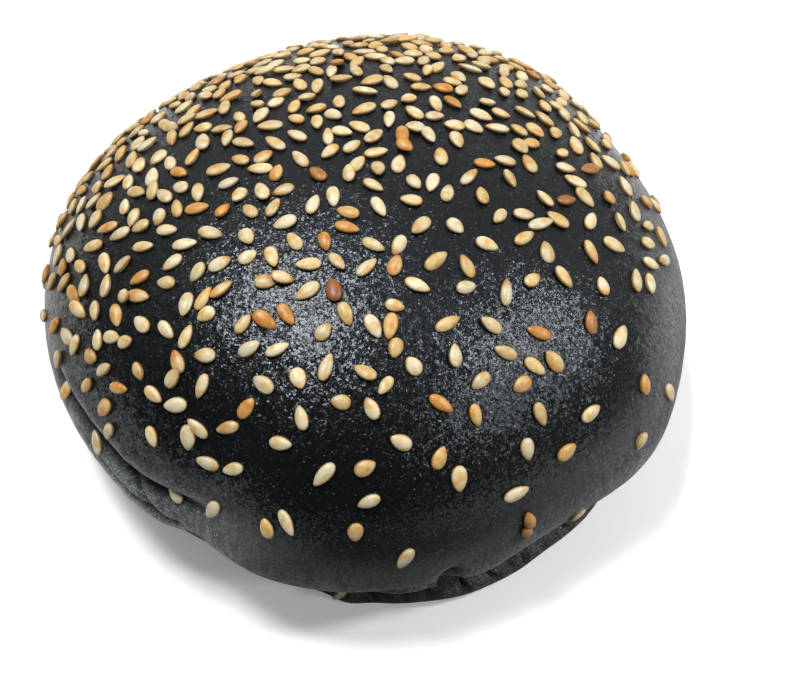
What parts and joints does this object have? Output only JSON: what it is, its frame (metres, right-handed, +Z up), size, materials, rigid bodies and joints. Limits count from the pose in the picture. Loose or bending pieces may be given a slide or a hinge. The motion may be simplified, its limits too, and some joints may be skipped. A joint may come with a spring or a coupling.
{
  "type": "sesame bun",
  "caption": "Round black burger bun with a domed top, scattered sesame seeds, a folded side and a flat sole.",
  "frame": {"origin": "middle of the bun's bounding box in plan, on the flat sole it rests on", "axes": "+Z up from the sole to the top of the dome; -Y is the front, the side nearest the camera in the picture; +X is to the right in the picture"},
  "size_m": [0.099, 0.0996, 0.0484],
  "materials": {
    "crust": "black baked bread crust, dull with a soft egg-wash gloss on the dome and a dry floury bloom low on the side",
    "sesame": "hulled sesame seeds, cream to golden, a few toasted orange, soft waxy sheen"
  },
  "bodies": {
    "root": {"sesame_bun": "crust"}
  },
  "joints": []
}
